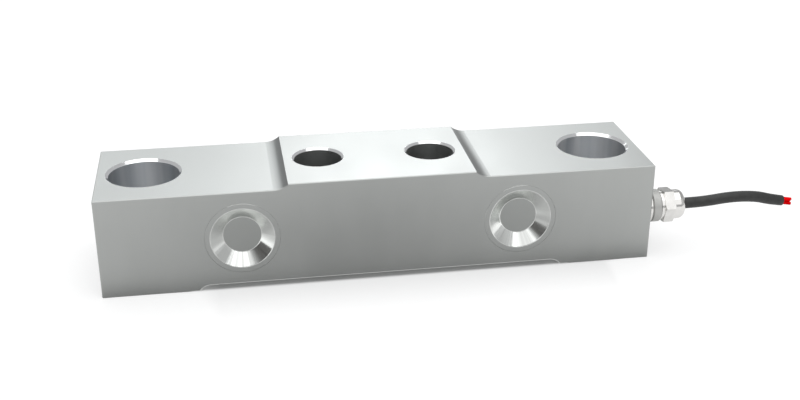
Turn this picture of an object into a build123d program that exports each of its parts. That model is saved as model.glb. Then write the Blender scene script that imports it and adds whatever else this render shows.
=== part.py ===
from build123d import *
import math
import os

# A double ended shear beam load cell, in millimetres.
# The origin is on the underside at mid-length and mid-width. X runs along the beam with the
# cable at the +X end, Y runs across it with the front at -Y, and Z is up.

# Beam: one bar with a raised loading pad on top and a shallow relief below
beam_length = 209.55
beam_width = 49.3
beam_height = 38.9
pad_length = 70.0
pad_rise = 2.1
pad_arc_radius = 8.1
relief_length = 138.4
relief_depth = 2.1
relief_arc_radius = 5.1
edge_break = 0.3

# Bolt holes: two clear holes through the ends, two tapped holes through the pad. Each is set
# in from the edge that it serves, so it stays on its land when the beam or the pad changes.
end_bore_inset = 17.425
end_bore_radius = 13.2
end_bore_chamfer = 1.0
centre_bore_inset = 13.2
centre_bore_radius = 9.1
centre_bore_chamfer = 0.85

# Gauge pockets: bored from both sides, so that a thin web is left at mid-width
pocket_pitch = 104.85
pocket_radius = 12.6
pocket_inner_radius = 11.4
web_thickness = 6.0
web_hole_radius = 1.5
web_hole_offset = 9.3

# Pocket covers: pressed dishes, each with its rim flush in a shallow seat
cover_rim_radius = 13.85
cover_mouth_radius = 11.8
cover_floor_radius = 7.18
cover_dish_depth = 3.43
cover_sheet = 0.8
cover_bend_radius = 0.45
cover_clearance = 0.03
cover_seam_break = 0.08

# Strain gauges and their solder terminals, bonded to the web
gauge_carrier = 9.0
gauge_carrier_thickness = 0.15
gauge_grid_length = 3.4
gauge_grid_line = 0.3
gauge_grid_pitch = 0.6
gauge_grid_lines = 5
gauge_grid_spread = 4.3
gauge_foil = 0.08
gauge_tab = 0.9
gauge_tab_pitch = 2.6
strip_length = 7.8
strip_height = 2.6
strip_thickness = 0.5
strip_drop = 8.0
strip_pad_thickness = 0.1

# Trim board in the front pocket beside the cable, on the shoulder of its bore
board_thickness = 1.0
board_clearance = 0.15
board_slot_depth = 7.4
board_slot_width = 3.0
board_pad_width = 0.9
resistor_length = 6.0
resistor_width = 2.4
resistor_height = 1.8
resistor_pitch = 5.0
resistor_cap = 0.7
resistor_cap_proud = 0.1

# Cable entry: one drilled way from the +X end through the front pockets
gland_inset = 7.6
gland_height = 18.75
port_radius = 4.0
port_depth = 7.8
wire_way_radius = 2.0
wire_way_overrun = 3.0

# Cable gland
thread_clearance = 0.05
gland_washer_thickness = 1.6
gland_washer_radius = 6.5
gland_body_stub = 7.5
gland_body_bore = 2.3
gland_collar_radius = 6.4
gland_collar_end = 5.25
gland_edge = 0.4
gland_spigot_radius = 4.8
gland_spigot_end = 9.8
gland_seat_radius = 3.4
gland_seat_start = 6.0
gland_seat_taper = 0.8
seal_proud = 0.75
seal_clearance = 0.04
clamp_ring_thickness = 1.0
clamp_ring_bore = 2.35
clamp_ring_radius = 4.6
nut_across_flats = 12.2
nut_corner_turn = 22.0
nut_land_radius = 5.8
nut_land_length = 1.2
nut_hex_length = 4.05
nut_hex_chamfer = 0.45
nut_dome_radius = 5.8
nut_dome_round = 2.3
nut_length = 10.0
nut_exit_radius = 2.5
nut_exit_round = 0.5
face_gap = 0.05

# Cable: a jacket over a braid and four insulated cores
cable_radius = 2.2
jacket_wall = 0.36
braid_wall = 0.1
cable_layer_gap = 0.02
core_radius = 0.65
core_gap = 0.04
conductor_radius = 0.3
conductor_gap = 0.02
conductor_strip = 1.2
core_stubs = {"front_upper": 3.0, "front_lower": 3.7, "rear_lower": 3.4, "rear_upper": 4.2}
core_board_end = 5.0
core_board_gap = 0.05

# The cable's route past the beam's end, as distance out and rise above the gland's axis
cable_inlet = 0.6
cable_bends = [(15.5, 0.0), (25.0, 0.15), (36.0, 1.4), (46.3, 0.9), (52.6, -0.95)]
cable_cut = (57.7, -1.8)

# Leads inside the beam, each a bundle in a sleeve
lead_radius = 0.45
lead_lane = 0.8
lead_board_gap = 0.05
lead_board_start = 2.5
lead_board_leave = 7.5
lead_strip_offset = 1.5
lead_slack = 3.0
lead_exit = 3.8
lead_rear_rise = 6.5

# Values that follow from the sizes above
half_length = beam_length / 2
half_width = beam_width / 2
end_bore_pitch = beam_length - 2 * end_bore_inset
centre_bore_pitch = pad_length - 2 * centre_bore_inset
pad_top = beam_height + pad_rise
pocket_x = pocket_pitch / 2
pocket_z = (relief_depth + beam_height) / 2
web_depth = half_width - web_thickness / 2
pad_arc_turn = math.degrees(math.acos(1 - pad_rise / pad_arc_radius))
pad_arc_run = pad_arc_radius * math.sin(math.radians(pad_arc_turn))
relief_arc_turn = math.degrees(math.acos(1 - relief_depth / relief_arc_radius))
relief_arc_run = relief_arc_radius * math.sin(math.radians(relief_arc_turn))
core_offset = core_radius + core_gap / 2
board_front_depth = gland_inset + core_offset + core_radius + core_board_gap
pocket_shoulder_depth = board_front_depth + board_thickness
strip_front_depth = web_depth - strip_thickness - strip_pad_thickness
gland_y = -half_width + gland_inset
gland_point = Vector(half_length, gland_y, gland_height)
ends = {"left": -1, "right": 1}
sides = {"front": -1, "rear": 1}

os.makedirs("parts", exist_ok=True)


def save(shape, name):
    """Write one finished piece as its own file."""
    shape.label = name
    export_step(shape, f"parts/{name}.step")


def pocket_plane(end, side, depth):
    """The plane across one gauge pocket, this deep below the beam's face, seen from outside."""
    origin = (end * pocket_x, side * (half_width - depth), pocket_z)
    return Plane(origin=origin, x_dir=(-side, 0, 0), z_dir=(0, side, 0))


def axial_plane(along):
    """A plane through the gland's axis: X is the distance from the beam's end, Y the radius."""
    return Plane(origin=gland_point + Vector(along, 0, 0), x_dir=(1, 0, 0), z_dir=(0, -1, 0))


def circles(shape, radius):
    """The circular edges of this radius."""
    rings = shape.edges().filter_by(GeomType.CIRCLE)
    return rings.filter_by(lambda edge: math.isclose(edge.radius, radius))


def bend_radii(points):
    """The largest arc at each corner that takes 0.45 of the shorter run beside it."""
    radii = []
    for before, corner, after in zip(points, points[1:], points[2:]):
        run_in = Vector(*corner) - Vector(*before)
        run_out = Vector(*after) - Vector(*corner)
        turn = math.radians(run_in.get_angle(run_out))
        radii.append(0.45 * min(run_in.length, run_out.length) / math.tan(turn / 2))
    return radii


# Beam
with BuildPart() as beam:
    with BuildSketch(Plane.XZ):
        with BuildLine():
            ceiling = Line((0, relief_depth), (relief_length / 2 - relief_arc_run, relief_depth))
            JernArc(ceiling @ 1, (1, 0), relief_arc_radius, -relief_arc_turn)
            Polyline(
                (relief_length / 2, 0),
                (half_length, 0),
                (half_length, beam_height),
                (pad_length / 2 + pad_arc_run, beam_height),
            )
            JernArc((pad_length / 2 + pad_arc_run, beam_height), (-1, 0), pad_arc_radius, -pad_arc_turn)
            Line((pad_length / 2, pad_top), (0, pad_top))
            mirror(about=Plane.YZ)
        make_face()
    extrude(amount=half_width, both=True)
    chamfer(beam.faces().filter_by(Axis.Y).edges(), edge_break)
    chamfer(beam.edges().filter_by(Axis.Y).group_by(Axis.X)[0], edge_break)
    chamfer(beam.edges().filter_by(Axis.Y).group_by(Axis.X)[-1], edge_break)
    # Bolt holes, broken at both mouths
    with Locations((0, 0, pad_top)):
        with GridLocations(end_bore_pitch, 0, 2, 1):
            Hole(end_bore_radius)
        with GridLocations(centre_bore_pitch, 0, 2, 1):
            Hole(centre_bore_radius)
    chamfer(circles(beam, end_bore_radius), end_bore_chamfer)
    chamfer(circles(beam, centre_bore_radius), centre_bore_chamfer)
    # Gauge pockets with the cover's seat, the board's shoulder and a wire hole in each web
    for end in ends.values():
        for side in sides.values():
            with Locations(pocket_plane(end, side, 0)):
                CounterBoreHole(
                    pocket_radius, cover_rim_radius + cover_clearance, cover_sheet, pocket_shoulder_depth
                )
                Hole(pocket_inner_radius, web_depth)
        web_hole = (end * (pocket_x - web_hole_offset), -half_width, pocket_z)
        with Locations(Plane(origin=web_hole, z_dir=(0, -1, 0))):
            Hole(web_hole_radius)
    # Cable port and the way along the front pockets
    with Locations(Plane(origin=gland_point, z_dir=(1, 0, 0))):
        CounterBoreHole(
            wire_way_radius,
            port_radius,
            port_depth,
            half_length + pocket_x - pocket_radius + wire_way_overrun,
        )
save(beam.part, "beam")

# Pocket covers
cone_slope = (cover_mouth_radius - cover_floor_radius) / cover_dish_depth
cone_back = cover_sheet * math.sqrt(1 + cone_slope**2)
for end_name, end in ends.items():
    for side_name, side in sides.items():
        face = pocket_plane(end, side, 0)
        with BuildPart() as cover:
            with BuildSketch(Plane(origin=face.origin, x_dir=(1, 0, 0), z_dir=(0, 0, side))):
                with BuildLine():
                    Polyline(
                        (0, -cover_dish_depth),
                        (cover_floor_radius, -cover_dish_depth),
                        (cover_mouth_radius, 0),
                        (cover_rim_radius - cover_seam_break, 0),
                        (cover_rim_radius, -cover_seam_break),
                        (cover_rim_radius, -cover_sheet + cover_clearance),
                        (
                            cover_mouth_radius - cone_slope * (cover_sheet - cover_clearance) + cone_back,
                            -cover_sheet + cover_clearance,
                        ),
                        (
                            cover_floor_radius - cone_slope * cover_sheet + cone_back,
                            -cover_dish_depth - cover_sheet,
                        ),
                        (0, -cover_dish_depth - cover_sheet),
                        close=True,
                    )
                make_face()
            revolve(axis=Axis(face.origin, (0, side, 0)))
            fillet(circles(cover, cover_floor_radius), cover_bend_radius)
            fillet(circles(cover, cover_mouth_radius), cover_bend_radius)
        save(cover.part, f"cover_{side_name}_{end_name}")

# Strain gauges: two foil grids at right angles on one carrier, set at 45 degrees to the beam
for end_name, end in ends.items():
    for side_name, side in sides.items():
        web = pocket_plane(end, side, web_depth)
        carrier_face = pocket_plane(end, side, web_depth - gauge_carrier_thickness)
        with BuildPart() as gauge:
            with BuildSketch(web):
                RectangleRounded(gauge_carrier, gauge_carrier, gauge_grid_line)
            extrude(amount=gauge_carrier_thickness)
            with BuildSketch(carrier_face):
                for place in (-1, 1):
                    grid_place = (place * gauge_grid_spread / 2, gauge_tab, 0)
                    with Locations(Location(grid_place, (0, 0, place * 45))):
                        with GridLocations(0, gauge_grid_pitch, 1, gauge_grid_lines):
                            Rectangle(gauge_grid_length, gauge_grid_line)
                with Locations((0, gauge_tab - gauge_carrier / 2 + gauge_grid_line)):
                    with GridLocations(gauge_tab_pitch, 0, 3, 1):
                        Rectangle(gauge_tab, gauge_tab)
            extrude(amount=gauge_foil)
        save(gauge.part, f"gauge_{side_name}_{end_name}")

        # Solder terminals below the gauge, with one pad under each gauge tab
        with BuildPart() as terminals:
            with BuildSketch(web):
                with Locations((0, -strip_drop)):
                    Rectangle(strip_length, strip_height)
            extrude(amount=strip_thickness)
            with BuildSketch(pocket_plane(end, side, web_depth - strip_thickness)):
                with Locations((0, -strip_drop)):
                    with GridLocations(gauge_tab_pitch, 0, 3, 1):
                        Rectangle(gauge_tab_pitch - gauge_tab, strip_height - gauge_tab)
            extrude(amount=strip_pad_thickness)
        save(terminals.part, f"terminals_{side_name}_{end_name}")

# Trim board: a round board on the pocket's shoulder, with a slot for the leads to the web
board_radius = pocket_radius - board_clearance
board_back = pocket_plane(1, -1, pocket_shoulder_depth)
board_front = pocket_plane(1, -1, board_front_depth)
with BuildPart() as board:
    with BuildSketch(board_back):
        Circle(board_radius)
        with Locations((-board_radius, 0)):
            SlotOverall(2 * board_slot_depth, board_slot_width, mode=Mode.SUBTRACT)
    extrude(amount=board_thickness)
save(board.part, "trim_board")

# Trim resistors, four in two rows on the board's front, each a body between two end caps
for row_name, row in {"upper": 1, "lower": -1}.items():
    for column in (-1, 1):
        place = (column * (resistor_length + board_pad_width) / 2, row * resistor_pitch)
        with BuildPart() as resistor:
            with BuildSketch(board_front):
                with Locations(place):
                    Rectangle(resistor_length, resistor_width)
            extrude(amount=resistor_height)
            for cap in (-1, 1):
                cap_x = place[0] + cap * (resistor_length - resistor_cap) / 2
                with BuildSketch(board_front):
                    with Locations((cap_x, place[1])):
                        Rectangle(resistor_cap, resistor_width + 2 * resistor_cap_proud)
                extrude(amount=resistor_height + resistor_cap_proud)
        save(resistor.part, f"resistor_{row_name}_{'left' if column < 0 else 'right'}")

# Gland washer between the beam's end and the gland body
gland_axis = Axis(gland_point, (1, 0, 0))
washer_bore = port_radius + thread_clearance
with BuildPart() as gland_washer:
    with BuildSketch(axial_plane(0)):
        with Locations((0, washer_bore)):
            Rectangle(gland_washer_thickness, gland_washer_radius - washer_bore, align=Align.MIN)
    revolve(axis=gland_axis)
    chamfer(gland_washer.edges().filter_by(GeomType.CIRCLE).group_by(SortBy.RADIUS)[-1], gland_edge)
save(gland_washer.part, "gland_washer")

# Gland body: threaded stub, collar and the spigot that holds the seal
with BuildPart() as gland_body:
    with BuildSketch(axial_plane(0)):
        with BuildLine():
            Polyline(
                (-gland_body_stub, gland_body_bore),
                (-gland_body_stub, port_radius - thread_clearance),
                (gland_washer_thickness, port_radius - thread_clearance),
                (gland_washer_thickness, gland_collar_radius),
                (gland_collar_end, gland_collar_radius),
                (gland_collar_end, gland_spigot_radius),
                (gland_spigot_end, gland_spigot_radius),
                (gland_spigot_end, gland_seat_radius),
                (gland_seat_start + gland_seat_taper, gland_seat_radius),
                (gland_seat_start, gland_body_bore),
                close=True,
            )
        make_face()
    revolve(axis=gland_axis)
    chamfer(gland_body.edges().filter_by(GeomType.CIRCLE).group_by(SortBy.RADIUS)[-1], gland_edge)
save(gland_body.part, "gland_body")

# Gland seal: a rubber sleeve, tapered to its seat, squeezed on the cable
seal_end = gland_spigot_end + seal_proud
seal_bore = cable_radius + seal_clearance
with BuildPart() as gland_seal:
    with BuildSketch(axial_plane(0)):
        with BuildLine():
            Polyline(
                (gland_seat_start + gland_seat_taper, seal_bore),
                (seal_end, seal_bore),
                (seal_end, gland_seat_radius - seal_clearance),
                (gland_seat_start + gland_seat_taper + seal_clearance, gland_seat_radius - seal_clearance),
                (gland_seat_start + gland_seat_taper / 2, gland_body_bore + seal_clearance),
                close=True,
            )
        make_face()
    revolve(axis=gland_axis)
save(gland_seal.part, "gland_seal")

# Thrust ring between the seal and the nut
with BuildPart() as clamp_ring:
    with BuildSketch(axial_plane(seal_end)):
        with Locations((0, clamp_ring_bore)):
            Rectangle(clamp_ring_thickness, clamp_ring_radius - clamp_ring_bore, align=Align.MIN)
    revolve(axis=gland_axis)
save(clamp_ring.part, "gland_thrust_ring")

# Gland nut: round land, chamfered hexagon, round dome and a rounded cable mouth
nut_start = gland_collar_end + face_gap
nut_corner_radius = nut_across_flats / 2 / math.cos(math.pi / 6)
nut_plane = Plane(origin=gland_point + Vector(nut_start, 0, 0), x_dir=(0, 0, 1), z_dir=(1, 0, 0))
nut_hex_plane = nut_plane.offset(nut_land_length)
with BuildPart() as gland_nut:
    with BuildSketch(nut_hex_plane):
        RegularPolygon(nut_across_flats / 2, 6, major_radius=False, rotation=nut_corner_turn)
    extrude(amount=nut_hex_length)
    with BuildSketch(axial_plane(nut_start + nut_land_length)):
        with BuildLine():
            Polyline(
                (0, 0),
                (0, nut_corner_radius - nut_hex_chamfer),
                (nut_hex_chamfer / 2, nut_corner_radius),
                (nut_hex_length - nut_hex_chamfer / 2, nut_corner_radius),
                (nut_hex_length, nut_corner_radius - nut_hex_chamfer),
                (nut_hex_length, 0),
                close=True,
            )
        make_face()
    revolve(axis=gland_axis, mode=Mode.INTERSECT)
    with BuildSketch(nut_plane):
        Circle(nut_land_radius)
    extrude(amount=nut_land_length)
    with BuildSketch(nut_hex_plane.offset(nut_hex_length)):
        Circle(nut_dome_radius)
    extrude(amount=nut_length - nut_land_length - nut_hex_length)
    fillet(gland_nut.faces().sort_by(Axis.X)[-1].edges(), nut_dome_round)
    with Locations(Plane(origin=gland_point + Vector(nut_start, 0, 0), z_dir=(-1, 0, 0))):
        Hole(gland_spigot_radius + thread_clearance, seal_end + clamp_ring_thickness + face_gap - nut_start)
        Hole(nut_exit_radius, nut_length)
    mouth = gland_nut.faces().sort_by(Axis.X)[-1].edges().sort_by(SortBy.RADIUS)[0]
    fillet(mouth, nut_exit_round)
save(gland_nut.part, "gland_nut")

# Cable route, from the gland's seal to the cut end, in the upright plane through the gland
cable_start = (half_length + cable_inlet, gland_y, gland_height)
cable_corners = [(half_length + out, gland_y, gland_height + rise) for out, rise in cable_bends]
cable_end = (half_length + cable_cut[0], gland_y, gland_height + cable_cut[1])
cable_radii = bend_radii([cable_start, *cable_corners, cable_end])
print("cable bend radii", [round(r, 1) for r in cable_radii])

# Jacket and braid: two tubes on one route
tube_walls = {
    "cable_jacket": (cable_radius, cable_radius - jacket_wall),
    "cable_braid": (
        cable_radius - jacket_wall - cable_layer_gap,
        cable_radius - jacket_wall - cable_layer_gap - braid_wall,
    ),
}
for name, (outer, inner) in tube_walls.items():
    with BuildPart() as tube:
        with BuildLine() as route:
            FilletPolyline(cable_start, *cable_corners, cable_end, radius=cable_radii)
        with BuildSketch(Plane(origin=cable_start, x_dir=(0, 1, 0), z_dir=(1, 0, 0))):
            Circle(outer)
            Circle(inner, mode=Mode.SUBTRACT)
        sweep(path=route.line)
    route_length = sum(edge.length for edge in route.edges())
    expected = math.pi * (outer**2 - inner**2) * route_length
    print(name, "length", round(route_length, 2), "volume", tube.part.volume, "expected", expected)
    save(tube.part, name)

# Cores: four conductors in their insulation, on the cable's route, from the trim board to the cut end
core_start = Vector(pocket_x + core_board_end, gland_y, gland_height)
last_run = (Vector(*cable_end) - Vector(*cable_corners[-1])).normalized()
for core_name, stub in core_stubs.items():
    offset = (
        core_offset if core_name.startswith("rear") else -core_offset,
        core_offset if core_name.endswith("upper") else -core_offset,
    )
    core_end = Vector(*cable_end) + last_run * stub
    with BuildPart() as insulation:
        with BuildLine():
            FilletPolyline(core_start, *cable_corners, core_end, radius=cable_radii)
        with BuildSketch(Plane(origin=core_start, x_dir=(0, 1, 0), z_dir=(1, 0, 0))):
            with Locations(offset):
                Circle(core_radius)
                Circle(conductor_radius + conductor_gap, mode=Mode.SUBTRACT)
        sweep()
    save(insulation.part, f"core_{core_name}")
    conductor_start = core_start - Vector(conductor_strip, 0, 0)
    with BuildPart() as conductor:
        with BuildLine():
            FilletPolyline(conductor_start, *cable_corners, core_end, radius=cable_radii)
        with BuildSketch(Plane(origin=conductor_start, x_dir=(0, 1, 0), z_dir=(1, 0, 0))):
            with Locations(offset):
                Circle(conductor_radius)
        sweep()
    save(conductor.part, f"conductor_{core_name}")

# Leads inside the beam, from the trim board to the terminals on each web
on_board = -half_width + board_front_depth - lead_radius - lead_board_gap
behind_board = -half_width + pocket_shoulder_depth
lane_upper = gland_height + lead_lane
lane_lower = gland_height - lead_lane
strip_z = pocket_z - strip_drop
front_strip = -half_width + strip_front_depth
rear_strip = half_width - strip_front_depth
rear_bend = rear_strip + lead_rear_rise
lead_routes = {
    "front_right": [
        (pocket_x + lead_strip_offset, behind_board, strip_z + lead_slack),
        (pocket_x + lead_strip_offset, behind_board + lead_exit, strip_z + lead_slack),
        (pocket_x, front_strip - lead_exit, strip_z),
        (pocket_x, front_strip, strip_z),
    ],
    "rear_right": [
        (pocket_x - lead_board_start, on_board, pocket_z + lead_lane / 2),
        (pocket_x - web_hole_offset, on_board, pocket_z + lead_lane / 2),
        (pocket_x - web_hole_offset, rear_bend, pocket_z),
        (pocket_x - lead_strip_offset, rear_bend, strip_z),
        (pocket_x - lead_strip_offset, rear_strip, strip_z),
    ],
    "front_left": [
        (pocket_x - lead_board_start, on_board, lane_lower),
        (pocket_x - lead_board_leave, on_board, lane_lower),
        (pocket_x - pocket_radius, gland_y, lane_lower),
        (-pocket_x + web_hole_offset, gland_y, lane_lower),
        (-pocket_x + lead_strip_offset, front_strip - lead_rear_rise, strip_z),
        (-pocket_x + lead_strip_offset, front_strip, strip_z),
    ],
    "rear_left": [
        (pocket_x - lead_board_start, on_board, lane_upper),
        (pocket_x - lead_board_leave, on_board, lane_upper),
        (pocket_x - pocket_radius, gland_y, lane_upper),
        (-pocket_x + web_hole_offset, gland_y, lane_upper),
        (-pocket_x + web_hole_offset, front_strip - lead_exit, pocket_z),
        (-pocket_x + web_hole_offset, rear_bend, pocket_z),
        (-pocket_x + lead_strip_offset, rear_bend, strip_z),
        (-pocket_x + lead_strip_offset, rear_strip, strip_z),
    ],
}
for name, points in lead_routes.items():
    radii = bend_radii(points)
    print("lead", name, "bend radii", [round(r, 1) for r in radii])
    start_run = (Vector(*points[1]) - Vector(*points[0])).normalized()
    with BuildPart() as lead:
        with BuildLine():
            FilletPolyline(*points, radius=radii)
        with BuildSketch(Plane(origin=points[0], z_dir=start_run)):
            Circle(lead_radius)
        sweep()
    save(lead.part, f"lead_{name}")
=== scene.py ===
# %% [markdown]
# # A double ended shear beam load cell, dressed for its picture
#
# The object is a bar of satin steel that weighs what stands on its raised middle. Its shapes
# come from the CAD frame, already in place and in metres. Blender adds the cable's line, the
# finishes, the light and the camera. X runs along the beam with the cable at +X, the front is
# at -Y and Z is up.

# %% The frame and its size
import bpy
import math
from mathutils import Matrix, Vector


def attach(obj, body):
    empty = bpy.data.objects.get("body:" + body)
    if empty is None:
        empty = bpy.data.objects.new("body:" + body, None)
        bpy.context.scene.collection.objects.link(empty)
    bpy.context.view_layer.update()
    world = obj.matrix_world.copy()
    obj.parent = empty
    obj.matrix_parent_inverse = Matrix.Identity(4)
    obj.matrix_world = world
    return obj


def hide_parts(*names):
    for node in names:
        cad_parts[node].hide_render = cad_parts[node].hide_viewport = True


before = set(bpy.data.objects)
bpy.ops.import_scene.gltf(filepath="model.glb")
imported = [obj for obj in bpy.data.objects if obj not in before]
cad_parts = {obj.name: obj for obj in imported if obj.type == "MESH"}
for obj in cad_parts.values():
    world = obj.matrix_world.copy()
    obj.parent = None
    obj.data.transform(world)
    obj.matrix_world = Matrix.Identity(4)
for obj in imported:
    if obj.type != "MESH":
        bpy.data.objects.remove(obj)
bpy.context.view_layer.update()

# %% [markdown]
# ## Camera
#
# The photographer stood in front, a little to the left, and looked down by 24 degrees. The
# camera could be aimed by eye. Its place and focal length were worked out from the beam's
# corners instead, because a long straight bar shows the smallest error in perspective.

# %% Camera
camera_data = bpy.data.cameras.new("camera")
camera_data.sensor_width = 36.0
camera_data.lens = 52.71
camera_data.clip_start = 0.01
camera = bpy.data.objects.new("camera", camera_data)
camera.location = (-0.05806, -0.41592, 0.20841)
camera.rotation_euler = (math.radians(65.978), 0.0, math.radians(-9.311))
bpy.context.scene.collection.objects.link(camera)
bpy.context.scene.camera = camera
print("camera at", tuple(round(v, 3) for v in camera.location))

# %% [markdown]
# ## Cable
#
# The cable is a short free end of round PVC flex. It leaves the gland level, rises a little
# and droops to its cut end. A tube could be swept along arcs, but that looks like bent wire.
# A NURBS spline through the route's few points bends as a real flex does. The bare spline
# gives the line that the tube follows.

# %% Cable route
route_points = [
    (0.105375, -0.01705, 0.01875),
    (0.120275, -0.01705, 0.01875),
    (0.129775, -0.01705, 0.01890),
    (0.140775, -0.01705, 0.02015),
    (0.151075, -0.01705, 0.01965),
    (0.157375, -0.01705, 0.01780),
    (0.162475, -0.01705, 0.01695),
]
end_squeeze = 0.94

jacket_curve = bpy.data.curves.new("jacket", "CURVE")
jacket_curve.dimensions = "3D"
route = jacket_curve.splines.new("NURBS")
route.points.add(len(route_points) - 1)
for point, place in zip(route.points, route_points):
    point.co = (*place, 1.0)
route.points[-1].radius = end_squeeze
route.order_u = 3
route.use_endpoint_u = True
route.resolution_u = 12
route_object = bpy.data.objects.new("route", jacket_curve)
bare_line = bpy.data.meshes.new_from_object(route_object)

# %% [markdown]
# The jacket is the same spline with a round bevel, made a mesh that is open at both ends. A
# filled rod would be simpler. Solidify gives the open tube the jacket's wall instead, so that
# the cores come out of a real cut.

# %% Cable jacket
jacket_radius = 0.0022
jacket_wall = 0.00036

jacket_curve.bevel_depth = jacket_radius
jacket_curve.bevel_resolution = 8
jacket_mesh = bpy.data.meshes.new_from_object(route_object)
jacket_mesh.polygons.foreach_set("use_smooth", [True] * len(jacket_mesh.polygons))
bpy.data.objects.remove(route_object)
jacket = bpy.data.objects.new("jacket", jacket_mesh)
bpy.context.scene.collection.objects.link(jacket)
wall = jacket.modifiers.new("jacket_wall", "SOLIDIFY")
wall.thickness = jacket_wall
wall.offset = -1.0
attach(jacket, "root")
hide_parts("cable_jacket")
print("jacket tube of", len(jacket_mesh.polygons), "faces")

# %% Pieces inside the jacket
core_names = ["front_upper", "front_lower", "rear_upper", "rear_lower"]
cable_inside = [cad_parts[f"core_{name}"] for name in core_names]
cable_inside += [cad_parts[f"conductor_{name}"] for name in core_names]
print("cord with", len(cable_inside) + 1, "pieces inside it")

# %% [markdown]
# ## Helpers for the finishes
#
# Every finish here is built from the same few steps: a place on the piece, a pattern there,
# and a shader that the pattern colours, roughens and bumps. Writing the nodes out each time
# would hide what differs, so small helpers make one node each and hand back its socket.

# %% A new finish, and the pieces that wear it
def start_finish(name, metal=0.0, specular=0.5):
    """A new material with its shader, and the place on the piece as a socket."""
    material = bpy.data.materials.new(name)
    material.use_nodes = True
    tree = material.node_tree
    shader = tree.nodes["Principled BSDF"]
    shader.inputs["Metallic"].default_value = metal
    shader.inputs["Specular IOR Level"].default_value = specular
    place = tree.nodes.new("ShaderNodeTexCoord").outputs["Object"]
    return material, tree, shader, place


def dress(material, *names):
    """Put a finish on CAD nodes, in every slot that they have."""
    for name in names:
        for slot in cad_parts[name].material_slots:
            slot.material = material
    print(material.name, "on", len(names), "pieces")


print("made the helpers that start a finish and put it on")

# %% Numbers from a place
def axis_parts(tree, place):
    """The place as its three separate numbers."""
    node = tree.nodes.new("ShaderNodeSeparateXYZ")
    tree.links.new(place, node.inputs[0])
    return node.outputs


def math_node(tree, operation, first, second=0.0):
    """One Math node; each input is a number or a socket."""
    node = tree.nodes.new("ShaderNodeMath")
    node.operation = operation
    for socket, value in zip(node.inputs, (first, second)):
        if isinstance(value, (int, float)):
            socket.default_value = value
        else:
            tree.links.new(value, socket)
    return node.outputs[0]


def reach(tree, first, second):
    """The distance from an axis, from the two numbers across it."""
    first_square = math_node(tree, "MULTIPLY", first, first)
    second_square = math_node(tree, "MULTIPLY", second, second)
    return math_node(tree, "SQRT", math_node(tree, "ADD", first_square, second_square))


def away_from(tree, value, middle):
    """How far a value lies from a middle, to either side."""
    return math_node(tree, "ABSOLUTE", math_node(tree, "SUBTRACT", value, middle))


def in_band(tree, value, low, high):
    """One where a value lies between low and high, and nought elsewhere."""
    above_low = math_node(tree, "GREATER_THAN", value, low)
    return math_node(tree, "MULTIPLY", above_low, math_node(tree, "LESS_THAN", value, high))


print("made the helpers for distances and bands")

# %% Patterns
def stretched_noise(tree, place, scale, stretch=(1.0, 1.0, 1.0), detail=4.0):
    """Noise, drawn out along the axes whose stretch is small."""
    mapping = tree.nodes.new("ShaderNodeMapping")
    mapping.inputs["Scale"].default_value = stretch
    tree.links.new(place, mapping.inputs["Vector"])
    noise = tree.nodes.new("ShaderNodeTexNoise")
    noise.inputs["Scale"].default_value = scale
    noise.inputs["Detail"].default_value = detail
    tree.links.new(mapping.outputs[0], noise.inputs["Vector"])
    return noise.outputs["Fac"]


def spread(tree, value, low, high, start=0.3, end=0.7):
    """A value's run from start to end, spread from low to high. Noise runs from 0.3 to 0.7."""
    node = tree.nodes.new("ShaderNodeMapRange")
    for name, number in zip(("From Min", "From Max", "To Min", "To Max"), (start, end, low, high)):
        node.inputs[name].default_value = number
    tree.links.new(value, node.inputs["Value"])
    return node.outputs[0]


print("made the helpers for noise")

# %% Mixing, and a shader's surface
def mix_colour(tree, factor, first, second):
    """Two colours mixed by a factor; each is three numbers or a socket."""
    node = tree.nodes.new("ShaderNodeMix")
    node.data_type = "RGBA"
    tree.links.new(factor, node.inputs["Factor"])
    for socket, colour in ((node.inputs[6], first), (node.inputs[7], second)):
        if isinstance(colour, tuple):
            socket.default_value = (*colour, 1.0)
        else:
            tree.links.new(colour, socket)
    return node.outputs[2]


def mix_number(tree, factor, first, second):
    """Two numbers mixed by a factor; each is a number or a socket."""
    node = tree.nodes.new("ShaderNodeMix")
    tree.links.new(factor, node.inputs["Factor"])
    for socket, value in ((node.inputs[2], first), (node.inputs[3], second)):
        if isinstance(value, (int, float)):
            socket.default_value = value
        else:
            tree.links.new(value, socket)
    return node.outputs[0]


def set_surface(tree, shader, colour, roughness):
    """Give a shader its colour and its roughness, both sockets."""
    tree.links.new(colour, shader.inputs["Base Color"])
    tree.links.new(roughness, shader.inputs["Roughness"])


def bump(tree, shader, height, depth, strength=1.0):
    """Raise the surface by a pattern, depth in metres."""
    node = tree.nodes.new("ShaderNodeBump")
    node.inputs["Strength"].default_value = strength
    node.inputs["Distance"].default_value = depth
    tree.links.new(height, node.inputs["Height"])
    tree.links.new(node.outputs[0], shader.inputs["Normal"])


print("made the helpers for colour, roughness and bump")

# %% [markdown]
# ## Beam
#
# The bar is stainless steel, milled and then blasted with fine beads to an even satin grey, so
# that hardly a line is left. Noise at two sizes gives that: fine grain as a bump, and broad
# clouds that vary the shade a little. The covers are blasted in the same way, so this is a
# function that both use.

# %% Blasted satin
satin_dark = (0.405, 0.415, 0.405)
satin_light = (0.435, 0.445, 0.435)
bead_scale = 3200.0
bead_depth = 0.000004
cloud_scale = 60.0
cloud_stretch = (1.0, 0.5, 0.5)


def blasted_satin(tree, shader, place):
    """The colour of steel blasted with beads, and its clouds; the grain is set as a bump."""
    grain = stretched_noise(tree, place, bead_scale, detail=3.0)
    clouds = stretched_noise(tree, place, cloud_scale, cloud_stretch, 3.0)
    bump(tree, shader, grain, bead_depth, strength=0.4)
    return mix_colour(tree, spread(tree, clouds, 0.0, 1.0), satin_dark, satin_light), clouds


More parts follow.
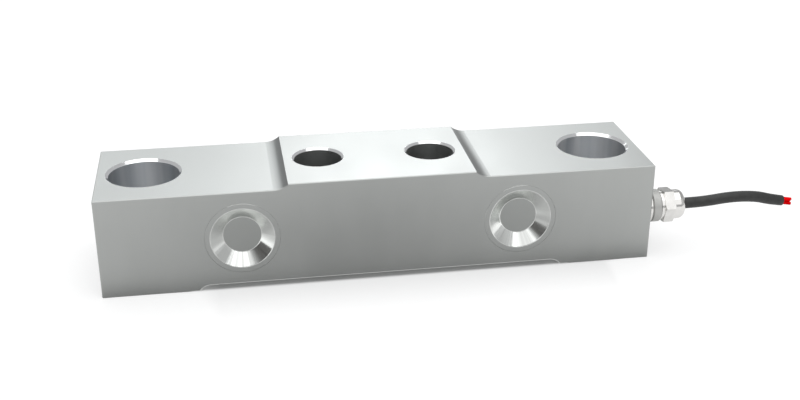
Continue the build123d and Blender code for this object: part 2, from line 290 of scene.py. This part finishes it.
print("grain of about", round(1000 / bead_scale, 2), "mm")

# %% [markdown]
# The four bolt holes are machined after the blasting: their walls are duller, and each mouth
# has a bright turned bevel. The walls of the two end holes are painted brighter than the steel,
# as painted light, with painted highlight streaks and painted shade toward their left and right
# sides. All of it is one solid, so the holes can't have materials of their own. Their finish
# is chosen by the distance from each hole's axis, which needs no painted image and follows the
# real edges.

# %% Holes of the beam
end_hole_x = 0.08735
end_hole_radius = 0.0132
end_mouth_radius = 0.0142
centre_hole_x = 0.0218
centre_hole_radius = 0.0091
centre_mouth_radius = 0.00995
side_shade_start = 0.0096
side_shade_share = 0.55
hair = 0.00005

beam_steel, tree, shader, place = start_finish("beam_steel", metal=1.0)
x, y, z = axis_parts(tree, place)
from_middle = math_node(tree, "ABSOLUTE", x)
end_reach = reach(tree, math_node(tree, "SUBTRACT", from_middle, end_hole_x), y)
centre_reach = reach(tree, math_node(tree, "SUBTRACT", from_middle, centre_hole_x), y)
in_end_hole = math_node(tree, "LESS_THAN", end_reach, end_hole_radius + hair)
in_centre_hole = math_node(tree, "LESS_THAN", centre_reach, centre_hole_radius + hair)
in_end_mouth = math_node(tree, "LESS_THAN", end_reach, end_mouth_radius)
in_centre_mouth = math_node(tree, "LESS_THAN", centre_reach, centre_mouth_radius)
in_mouth = math_node(tree, "MAXIMUM", in_end_mouth, in_centre_mouth)
sideways = away_from(tree, from_middle, end_hole_x)
# painted shade: the end-hole walls darken toward their left and right sides
painted_side_shade = spread(tree, sideways, 0.0, side_shade_share, side_shade_start, end_hole_radius)
print("bevels", round(1000 * (end_mouth_radius - end_hole_radius), 2), "mm wide at the end holes")

# %% [markdown]
# On the rounded steps beside the pad the satin carries painted shade, a darker grey. They are
# found by height, by the distance from the middle and by the width of the top, with a soft
# start where they rise from the lower top.

# %% Steps beside the pad
low_top_height = 0.0389
step_fade = 0.0009
pad_half_length = 0.0350
top_half_width = 0.0244

past_pad = math_node(tree, "GREATER_THAN", from_middle, pad_half_length)
on_top = math_node(tree, "LESS_THAN", math_node(tree, "ABSOLUTE", y), top_half_width)
beside_pad = math_node(tree, "MULTIPLY", past_pad, on_top)
up_the_arc = spread(tree, z, 0.0, 1.0, low_top_height, low_top_height + step_fade)
step_shade_mask = math_node(tree, "MULTIPLY", beside_pad, up_the_arc)
print("steps begin", round(1000 * pad_half_length, 1), "mm from the middle")

# %% Beam steel
step_painted_shade = (0.295, 0.305, 0.30)
mouth_bright = (0.94, 0.945, 0.95)
wall_painted_light = (0.66, 0.69, 0.72)
wall_painted_highlight = (1.0, 1.0, 1.0)
wall_side_shade = (0.30, 0.31, 0.33)
centre_wall_grey = (0.52, 0.53, 0.525)
satin_smoothest = 0.31
satin_roughest = 0.37
mouth_roughness = 0.14
end_wall_roughness = 0.42
centre_wall_roughness = 0.38
highlight_streak_scale = 170.0
highlight_streak_stretch = (1.0, 1.0, 0.05)

satin, clouds = blasted_satin(tree, shader, place)
# painted light and painted highlight streaks on the end-hole walls, then their painted side shade
highlight_streaks = stretched_noise(tree, place, highlight_streak_scale, highlight_streak_stretch, detail=2.0)
end_wall_light_and_shade = mix_colour(tree, spread(tree, highlight_streaks, 0.0, 1.0), wall_painted_light, wall_painted_highlight)
end_wall_light_and_shade = mix_colour(tree, painted_side_shade, end_wall_light_and_shade, wall_side_shade)
# painted shade on the rounded steps beside the pad
colour = mix_colour(tree, step_shade_mask, satin, step_painted_shade)
colour = mix_colour(tree, in_mouth, colour, mouth_bright)
colour = mix_colour(tree, in_end_hole, colour, end_wall_light_and_shade)
colour = mix_colour(tree, in_centre_hole, colour, centre_wall_grey)
roughness = spread(tree, clouds, satin_smoothest, satin_roughest)
roughness = mix_number(tree, in_mouth, roughness, mouth_roughness)
roughness = mix_number(tree, in_end_hole, roughness, end_wall_roughness)
roughness = mix_number(tree, in_centre_hole, roughness, centre_wall_roughness)
set_surface(tree, shader, colour, roughness)
dress(beam_steel, "beam")

# %% [markdown]
# ## Pocket covers
#
# Each gauge pocket is closed by a pressed dish. Its rim is the same satin grey as the beam and
# its floor is a little darker. Its cone and both bends are polished and carry painted reflection
# rays. The upper part of the fine break round the rim is polished too, and its colour is a
# painted highlight, a thin arc. The rest of the break is painted paler, painted light that
# keeps the seam's shade from showing. One material serves all four covers, because it folds X
# to one side first.

# %% Places on a cover
pocket_x = 0.052425
pocket_z = 0.0205
cone_inner = 0.0070
cone_outer = 0.0120
rim_break = 0.01376
highlight_break_start = 0.0035

cover_steel, tree, shader, place = start_finish("cover_steel", metal=1.0)
x, y, z = axis_parts(tree, place)
across = math_node(tree, "SUBTRACT", math_node(tree, "ABSOLUTE", x), pocket_x)
upward = math_node(tree, "SUBTRACT", z, pocket_z)
cover_reach = reach(tree, across, upward)
on_disc = math_node(tree, "LESS_THAN", cover_reach, cone_inner)
on_cone = in_band(tree, cover_reach, cone_inner, cone_outer)
on_break = math_node(tree, "GREATER_THAN", cover_reach, rim_break)
# painted highlight: only the upper part of the rim's break is made bright
in_upper_part = math_node(tree, "GREATER_THAN", upward, highlight_break_start)
on_highlight_break = math_node(tree, "MULTIPLY", on_break, in_upper_part)
is_polished = math_node(tree, "MAXIMUM", on_cone, on_highlight_break)
print("cone", round(1000 * (cone_outer - cone_inner), 2), "mm wide")

# %% [markdown]
# The cone's bright and dark rays are painted reflections, standing for what a turned cone
# mirrors from its surroundings. Rays could be a picture, but noise that only reads the angle
# round the cover's axis gives the same and stays sharp. Broad rays also read X a little, so that
# the left and right covers differ. Thin dark painted rays lie low on the cone, and toward its
# top the painted shade is calmer.

# %% Painted reflection rays round the cone
broad_scale = 1.4
broad_change = -45.0
broad_run = (0.35, 0.65)
thin_scale = 6.0
thin_reflection_darkening = (-0.9, 0.0)
thin_run = (0.36, 0.48)
thin_heights = (-0.007, -0.0035)
calm_heights = (0.001, 0.008)
calm_share = 0.75
calm_reflection_shade = 0.42


def place_by_angle(tree, angle, change):
    """A place that goes once round a circle with the angle, and elsewhere with a change."""
    node = tree.nodes.new("ShaderNodeCombineXYZ")
    tree.links.new(math_node(tree, "COSINE", angle), node.inputs["X"])
    tree.links.new(math_node(tree, "SINE", angle), node.inputs["Y"])
    tree.links.new(change, node.inputs["Z"])
    return node.outputs[0]


angle = math_node(tree, "ARCTAN2", upward, across)
broad_place = place_by_angle(tree, angle, math_node(tree, "MULTIPLY", x, broad_change))
broad_reflection_rays = stretched_noise(tree, broad_place, broad_scale, detail=1.5)
thin_place = place_by_angle(tree, angle, math_node(tree, "GREATER_THAN", x, 0.0))
thin_reflection_rays = stretched_noise(tree, thin_place, thin_scale, detail=1.0)
low_part = spread(tree, upward, 1.0, 0.0, *thin_heights)
near_top = spread(tree, upward, 0.0, calm_share, *calm_heights)
# painted reflections: broad and thin rays shade the polished cone by angle
broad_reflection_shade = spread(tree, broad_reflection_rays, 0.0, 1.0, *broad_run)
thin_dark_reflections = math_node(tree, "MULTIPLY", spread(tree, thin_reflection_rays, *thin_reflection_darkening, *thin_run), low_part)
painted_reflection_rays = math_node(tree, "MAXIMUM", math_node(tree, "ADD", broad_reflection_shade, thin_dark_reflections), 0.0)
painted_reflection_rays = mix_number(tree, near_top, painted_reflection_rays, calm_reflection_shade)
print("thin rays are", round(thin_scale / broad_scale, 1), "times finer than broad ones")

# %% Cover steel
disc_grey = (0.375, 0.385, 0.375)
break_painted_light = (0.80, 0.82, 0.80)
reflection_dark = (0.62, 0.63, 0.615)
reflection_bright = (0.95, 0.97, 0.945)
polished_roughest = 0.22
polished_smoothest = 0.12

satin, _ = blasted_satin(tree, shader, place)
satin = mix_colour(tree, on_disc, satin, disc_grey)
# painted light: the rest of the break is paler, so that the seam's shade hardly shows
satin = mix_colour(tree, on_break, satin, break_painted_light)
# the polished parts take the colour of the painted reflection rays
polished_painted_reflections = mix_colour(tree, painted_reflection_rays, reflection_dark, reflection_bright)
polished_rough = spread(tree, broad_reflection_rays, polished_roughest, polished_smoothest, *broad_run)
colour = mix_colour(tree, is_polished, satin, polished_painted_reflections)
roughness = mix_number(tree, is_polished, satin_smoothest, polished_rough)
set_surface(tree, shader, colour, roughness)
corners = [("front", "left"), ("front", "right"), ("rear", "left"), ("rear", "right")]
dress(cover_steel, *[f"cover_{side}_{end}" for side, end in corners])

# %% [markdown]
# ## Cable gland
#
# The gland is nickel plated brass, turned from hexagon bar. The nut and the washer are
# polished before they are plated, and the body's collar is left satin. The lathe leaves fine
# rings round the axis. Rings are noise that reads hardly more than how far along X a point is,
# so they run round the collar and the dome alike.

# %% Nickel plating
ring_scale = 3000.0
ring_stretch = (1.0, 0.01, 0.01)
ring_depth = 0.000004
spot_scale = 260.0


def plating(name, dark, light, smooth, rough):
    """Nickel plating over turned brass, from its two shades and its least and most roughness."""
    material, tree, shader, place = start_finish(name, metal=1.0)
    rings = stretched_noise(tree, place, ring_scale, ring_stretch, detail=2.0)
    spots = stretched_noise(tree, place, spot_scale)
    colour = mix_colour(tree, spread(tree, spots, 0.0, 1.0), dark, light)
    set_surface(tree, shader, colour, spread(tree, spots, smooth, rough))
    bump(tree, shader, rings, ring_depth, strength=0.6)
    return material


gland_bright = plating(
    "gland_bright",
    dark=(0.70, 0.69, 0.67),
    light=(0.80, 0.79, 0.77),
    smooth=0.13,
    rough=0.19,
)
dress(gland_bright, "gland_washer", "gland_nut")
gland_satin = plating(
    "gland_satin",
    dark=(0.46, 0.46, 0.445),
    light=(0.52, 0.52, 0.505),
    smooth=0.44,
    rough=0.50,
)
dress(gland_satin, "gland_body")

# %% [markdown]
# ## Rubber and plastic of the cable
#
# The jacket is matt PVC, a very dark grey with the faint orange-peel of extrusion. The cores
# are bright red PVC that hardly shines. The seal is black rubber, the ring under the nut is
# pale nylon and the leads have a pale sleeve. They differ in colour, grain and gloss alone, so
# one function makes them all from those.

# %% Moulded and drawn plastics
skin_fineness = 6.0
duller_by = 0.06
glossier_by = 0.04


def plastic(name, dark, light, grain, roughness, depth, specular=0.5):
    """A plastic with a mottled colour, uneven gloss and a fine skin."""
    material, tree, shader, place = start_finish(name, specular=specular)
    mottle = stretched_noise(tree, place, grain)
    skin = stretched_noise(tree, place, grain * skin_fineness, detail=2.0)
    colour = mix_colour(tree, spread(tree, mottle, 0.0, 1.0), dark, light)
    uneven = spread(tree, mottle, roughness + duller_by, roughness - glossier_by)
    set_surface(tree, shader, colour, uneven)
    bump(tree, shader, skin, depth, strength=0.6)
    return material


print("skin", skin_fineness, "times finer than its mottle")

# %% Jacket and cores
jacket_pvc = plastic(
    "jacket_pvc",
    dark=(0.022, 0.023, 0.022),
    light=(0.032, 0.033, 0.032),
    grain=500.0,
    roughness=0.46,
    depth=0.00002,
)
jacket_mesh.materials.append(jacket_pvc)
print(jacket_pvc.name, "on the jacket")

core_red = plastic(
    "core_red",
    dark=(0.78, 0.0, 0.001),
    light=(0.92, 0.0, 0.002),
    grain=700.0,
    roughness=0.5,
    depth=0.000008,
    specular=0.03,
)
dress(core_red, *[f"core_{name}" for name in core_names])

# %% Seal, ring and leads
seal_rubber = plastic(
    "seal_rubber",
    dark=(0.015, 0.015, 0.016),
    light=(0.030, 0.030, 0.031),
    grain=600.0,
    roughness=0.6,
    depth=0.00001,
)
dress(seal_rubber, "gland_seal")
ring_nylon = plastic(
    "ring_nylon",
    dark=(0.62, 0.61, 0.56),
    light=(0.74, 0.73, 0.68),
    grain=300.0,
    roughness=0.4,
    depth=0.000006,
)
dress(ring_nylon, "gland_thrust_ring")
lead_sleeve = plastic(
    "lead_sleeve",
    dark=(0.66, 0.67, 0.66),
    light=(0.80, 0.81, 0.80),
    grain=900.0,
    roughness=0.35,
    depth=0.000006,
)
dress(lead_sleeve, *[f"lead_{side}_{end}" for side, end in corners])

# %% [markdown]
# ## Wire and braid
#
# The conductors are fine copper strands laid together, and the screen under the jacket is
# woven from tinned ones. Single strands are under a tenth of a millimetre, too fine to build
# and seen only in the cut, so a waved bump stands for them.

# %% Copper strands
strand_scale = 1800.0
strand_slant = 1.2
copper_dark = (0.70, 0.36, 0.22)
copper_light = (0.93, 0.56, 0.38)
copper_roughness = (0.42, 0.26)


def strand_waves(tree, place, scale, slant):
    """Bands that lie across a wire at a slant, as its strands do."""
    mapping = tree.nodes.new("ShaderNodeMapping")
    mapping.inputs["Rotation"].default_value = (0.0, 0.0, slant)
    tree.links.new(place, mapping.inputs["Vector"])
    wave = tree.nodes.new("ShaderNodeTexWave")
    wave.inputs["Scale"].default_value = scale
    tree.links.new(mapping.outputs[0], wave.inputs["Vector"])
    return wave.outputs["Fac"]


conductor_copper, tree, shader, place = start_finish("conductor_copper", metal=1.0)
strands = strand_waves(tree, place, strand_scale, strand_slant)
colour = mix_colour(tree, strands, copper_dark, copper_light)
set_surface(tree, shader, colour, spread(tree, strands, *copper_roughness, start=0.0, end=1.0))
bump(tree, shader, strands, depth=0.00001)
dress(conductor_copper, *[f"conductor_{name}" for name in core_names])

# %% Tinned braid
weave_scale = 900.0
weave_slant = 0.7
weave_gap = (0.22, 0.22, 0.21)
tin_bright = (0.74, 0.74, 0.72)
tin_roughness = (0.5, 0.28)

braid_tin, tree, shader, place = start_finish("cable_braid", metal=1.0)
one_way = strand_waves(tree, place, weave_scale, weave_slant)
other_way = strand_waves(tree, place, weave_scale, -weave_slant)
weave = math_node(tree, "MAXIMUM", one_way, other_way)
colour = mix_colour(tree, weave, weave_gap, tin_bright)
set_surface(tree, shader, colour, spread(tree, weave, *tin_roughness, start=0.0, end=1.0))
bump(tree, shader, weave, depth=0.00003)
dress(braid_tin, "cable_braid")

# %% [markdown]
# ## Gauges and the trim board
#
# These sit behind the covers. A strain gauge is a metal foil grid on amber film, its solder
# terminals are copper on laminate, and the trim board is green laminate that carries chip
# resistors. Foil, pads and end caps are raised in the solids, so how far a point stands off
# the web, or along a resistor, tells which metal or film it is.

# %% Film, foil and laminate
shaded_share = 0.7
film_roughness = (0.38, 0.5)
metal_roughness = 0.3
film_depth = 0.000008


def two_layers(name, base, top, outward_from, grain):
    """Film or laminate up to a distance from mid-width, and metal beyond it."""
    material, tree, shader, place = start_finish(name)
    x, y, z = axis_parts(tree, place)
    is_metal = math_node(tree, "GREATER_THAN", math_node(tree, "ABSOLUTE", y), outward_from)
    mottle = stretched_noise(tree, place, grain, detail=3.0)
    shade = tuple(shaded_share * part for part in base)
    ground_colour = mix_colour(tree, spread(tree, mottle, 0.0, 1.0), shade, base)
    colour = mix_colour(tree, is_metal, ground_colour, top)
    roughness = mix_number(tree, is_metal, spread(tree, mottle, *film_roughness), metal_roughness)
    set_surface(tree, shader, colour, roughness)
    tree.links.new(is_metal, shader.inputs["Metallic"])
    bump(tree, shader, mottle, film_depth, strength=0.5)
    return material


gauge_film = two_layers(
    "gauge_film",
    base=(0.60, 0.30, 0.06),
    top=(0.72, 0.66, 0.55),
    outward_from=0.003155,
    grain=1500.0,
)
dress(gauge_film, *[f"gauge_{side}_{end}" for side, end in corners])
terminal_laminate = two_layers(
    "terminal_laminate",
    base=(0.42, 0.30, 0.12),
    top=(0.86, 0.60, 0.42),
    outward_from=0.003505,
    grain=1200.0,
)
dress(terminal_laminate, *[f"terminals_{side}_{end}" for side, end in corners])

# %% Trim board
board_laminate = plastic(
    "board_laminate",
    dark=(0.010, 0.085, 0.040),
    light=(0.016, 0.125, 0.060),
    grain=800.0,
    roughness=0.36,
    depth=0.000006,
)
dress(board_laminate, "trim_board")

# %% Chip resistors
chip_offset = 0.00345
cap_start = 0.0023
ceramic_dark = (0.016, 0.017, 0.020)
ceramic_light = (0.040, 0.042, 0.048)
ceramic_roughness = 0.45
speckle_scale = 2400.0
speckle_depth = 0.000006

resistor_body, tree, shader, place = start_finish("resistor_body")
x, y, z = axis_parts(tree, place)
from_board_middle = away_from(tree, x, pocket_x)
from_chip_middle = away_from(tree, from_board_middle, chip_offset)
is_cap = math_node(tree, "GREATER_THAN", from_chip_middle, cap_start)
speckle = stretched_noise(tree, place, speckle_scale, detail=3.0)
ceramic = mix_colour(tree, spread(tree, speckle, 0.0, 1.0), ceramic_dark, ceramic_light)
colour = mix_colour(tree, is_cap, ceramic, tin_bright)
set_surface(tree, shader, colour, mix_number(tree, is_cap, ceramic_roughness, metal_roughness))
tree.links.new(is_cap, shader.inputs["Metallic"])
bump(tree, shader, speckle, speckle_depth, strength=0.5)
chips = [f"resistor_{row}_{end}" for row in ("upper", "lower") for end in ("left", "right")]
dress(resistor_body, *chips)

# %% [markdown]
# ## Floor
#
# The photograph has a white ground with only a faint soft shadow. A brighter lamp would burn
# out the top of the beam, so the floor adds a little light of its own, to the rays that come
# from the camera and from mirror-like surfaces. The rest of its brightness is the lamps' own,
# and the real shadow takes that part away. The added light is dimmed near the beam as well: a
# painted shadow for the camera and painted shade in what metal mirrors.

# %% Floor
floor_half = 9.0


def flat_quad(name, corner_places):
    """A flat four-cornered piece of the stage."""
    mesh = bpy.data.meshes.new(name)
    mesh.from_pydata(corner_places, [], [(0, 1, 2, 3)])
    quad = bpy.data.objects.new(name, mesh)
    bpy.context.scene.collection.objects.link(quad)
    return quad


floor = flat_quad(
    "floor",
    [
        (-floor_half, -floor_half, 0.0),
        (floor_half, -floor_half, 0.0),
        (floor_half, floor_half, 0.0),
        (-floor_half, floor_half, 0.0),
    ],
)
floor_paint, tree, shader, place = start_finish("floor_paint", specular=0.0)
shader.inputs["Base Color"].default_value = (0.50, 0.50, 0.50, 1.0)
shader.inputs["Roughness"].default_value = 1.0
floor.data.materials.append(floor_paint)
print("floor of", floor.dimensions[0], "m")

# %% [markdown]
# Metal mirrors the floor's own light where the floor lies open. Close to the beam that light
# fades, painted shade that stands for the dim strip at the foot of a real bar, and the front
# gets its soft gradient as a painted reflection of it. The painted shade stops at the beam's two
# ends. Only the broken edge above the relief mirrors a bright strip, a painted highlight that
# draws it as a fine line.

# %% The floor as metal mirrors it
front_squeeze = 0.85
front_shift = 0.05
front_shade_glow = (0.16, 0.96)
front_shade_reach = (0.015, 0.12)
foot_middle = 0.0265
foot_width = 0.015
foot_shade_glow = 0.2
end_run = (0.104, 0.112)
highlight_strip_sides = (0.016, 0.0245)
highlight_strip_half_length = 0.0725
highlight_strip_glow = 2.1

x, y, z = axis_parts(tree, place)
from_side = math_node(tree, "ABSOLUTE", y)
along = math_node(tree, "ABSOLUTE", x)
squeezed = math_node(tree, "MULTIPLY", x, front_squeeze)
from_front = reach(tree, squeezed, math_node(tree, "ADD", y, front_shift))
# painted shade: the glow that metal mirrors fades near the beam and at its foot
mirrored_front_shade = spread(tree, from_front, *front_shade_glow, *front_shade_reach)
mirrored_foot_shade = spread(tree, away_from(tree, from_side, foot_middle), foot_shade_glow, 1.0, 0.0, foot_width)
past_ends = spread(tree, along, foot_shade_glow, 1.0, *end_run)
painted_foot_shade = math_node(tree, "MAXIMUM", mirrored_foot_shade, past_ends)
mirrored_painted_shade = math_node(tree, "MULTIPLY", mirrored_front_shade, painted_foot_shade)
# painted highlight: a glowing strip below the relief's edge, seen only in metal, draws the edge as a
# bright line
below_edge = in_band(tree, from_side, *highlight_strip_sides)
under_relief = math_node(tree, "LESS_THAN", along, highlight_strip_half_length)
painted_highlight_glow = math_node(tree, "MULTIPLY", below_edge, highlight_strip_glow)
edge_highlight_strip = math_node(tree, "MULTIPLY", painted_highlight_glow, under_relief)
mirrored_shade_and_highlight = math_node(tree, "MAXIMUM", mirrored_painted_shade, edge_highlight_strip)
print("bright strip", round(2000 * highlight_strip_half_length, 1), "mm long")

# %% [markdown]
# The camera sees no added light under the relief, so the gap there stays dark, a painted shadow
# that ends in a crisp line at the foot. From that line outward the added light grows to its full
# strength, which draws the soft painted shadow. Toward both ends of the beam this fades, and past
# them the only shadow is what the lamps cast.

# %% The floor as the camera sees it
foot_line = (0.0236, 0.0254)
shadow_outer = 0.0520
painted_shadow_glow = 0.80
left_run = (-0.1056, -0.062)
right_run = (0.086, 0.1056)
added_light = 0.56

# painted shadow: the floor's glow to the camera is taken away under the relief and dimmed beside the
# beam
past_line = spread(tree, from_side, 0.0, painted_shadow_glow, *foot_line)
past_shadow = spread(tree, from_side, 0.0, 1.0 - painted_shadow_glow, foot_line[1], shadow_outer)
painted_shadow_fade = math_node(tree, "ADD", past_line, past_shadow)
to_the_left = spread(tree, x, 1.0, 0.0, *left_run)
to_the_right = spread(tree, x, 0.0, 1.0, *right_run)
past_end = math_node(tree, "MAXIMUM", to_the_left, to_the_right)
glow_past_painted_shadow = math_node(tree, "MINIMUM", math_node(tree, "ADD", painted_shadow_fade, past_end), 1.0)
ray_kinds = tree.nodes.new("ShaderNodeLightPath").outputs
direct = math_node(tree, "MAXIMUM", ray_kinds["Is Camera Ray"], ray_kinds["Is Transmission Ray"])
seen = math_node(tree, "MULTIPLY", direct, glow_past_painted_shadow)
mirrored = math_node(tree, "MULTIPLY", ray_kinds["Is Glossy Ray"], mirrored_shade_and_highlight)
glow = math_node(tree, "MULTIPLY", math_node(tree, "MAXIMUM", seen, mirrored), added_light)
shader.inputs["Emission Color"].default_value = (1.0, 1.0, 1.0, 1.0)
tree.links.new(glow, shader.inputs["Emission Strength"])
print("floor adds up to", added_light, "of white to the camera")

# %% [markdown]
# ## Light
#
# A metal shows its surroundings more than its colour, so the light is a set of cards. Two low
# behind lie where the top of the beam mirrors them: a narrow one for the bright middle and a
# wide one for the soft fall to both ends, both faintly blue. A large one in front lights the
# cones and the gland, a dimmer one at the right fills them, and one overhead makes the soft
# shadow. The cards aren't seen by the camera.

# %% Lamps
def soft_card(name, place, aim, size, radiance, colour=(1.0, 1.0, 1.0)):
    """A rectangular lamp that faces a point, its power set from the brightness of its face."""
    width, height = size
    data = bpy.data.lights.new(name, "AREA")
    data.shape = "RECTANGLE"
    data.size = width
    data.size_y = height
    data.energy = radiance * math.pi * width * height
    data.color = colour
    card = bpy.data.objects.new(name, data)
    card.location = place
    direction = card.location - Vector(aim)
    card.rotation_euler = direction.to_track_quat("Z", "Y").to_euler()
    card.visible_camera = False
    bpy.context.scene.collection.objects.link(card)
    print(name, "energy", round(data.energy, 2))


beam_top = (0.0, 0.0, 0.04)
beam_side = (0.0, 0.0, 0.02)
right_side = (0.05, 0.0, 0.02)
beam_foot = (0.0, 0.0, 0.0)
soft_card(
    "back_card",
    place=(0.20, 1.30, 0.74),
    aim=beam_top,
    size=(0.40, 0.46),
    radiance=1.62,
    colour=(0.99, 1.0, 1.015),
)
soft_card(
    "wide_card",
    place=(0.09, 1.32, 0.75),
    aim=beam_top,
    size=(1.20, 0.46),
    radiance=1.66,
    colour=(0.975, 1.0, 1.015),
)
soft_card("front_card", place=(0.10, -0.90, 0.72), aim=beam_side, size=(1.25, 0.94), radiance=0.80)
soft_card("right_card", place=(1.00, -0.62, 0.45), aim=right_side, size=(0.70, 0.80), radiance=0.18)
soft_card("overhead_card", place=(0.0, 0.0, 1.7), aim=beam_foot, size=(2.0, 2.0), radiance=1.35)

# %% [markdown]
# Bright metal also needs something dark to mirror. A dark grey flag at the front left gives
# the cones their dark ray. A smaller lamp would leave a gap there too, but a flag can be put
# where the ray belongs. It casts no shadow and neither the camera nor a matt surface sees it.
# The world is a plain grey that fills what the cards leave.

# %% Flag and world
flag = flat_quad(
    "flag",
    [(-1.0, -0.25, 0.02), (-0.56, -0.85, 0.02), (-0.56, -0.85, 0.62), (-1.0, -0.25, 0.62)],
)
flag.visible_camera = False
flag.visible_diffuse = False
flag.visible_shadow = False
flag_cloth, tree, shader, place = start_finish("flag_cloth", specular=0.0)
shader.inputs["Base Color"].default_value = (0.16, 0.155, 0.15, 1.0)
flag.data.materials.append(flag_cloth)

world = bpy.data.worlds.new("studio")
world.use_nodes = True
world.node_tree.nodes["Background"].inputs["Color"].default_value = (0.455, 0.46, 0.465, 1.0)
bpy.context.scene.world = world
bpy.context.scene.view_settings.view_transform = "Standard"
print("flag", round(flag.dimensions[2], 2), "m high, world", world.name)
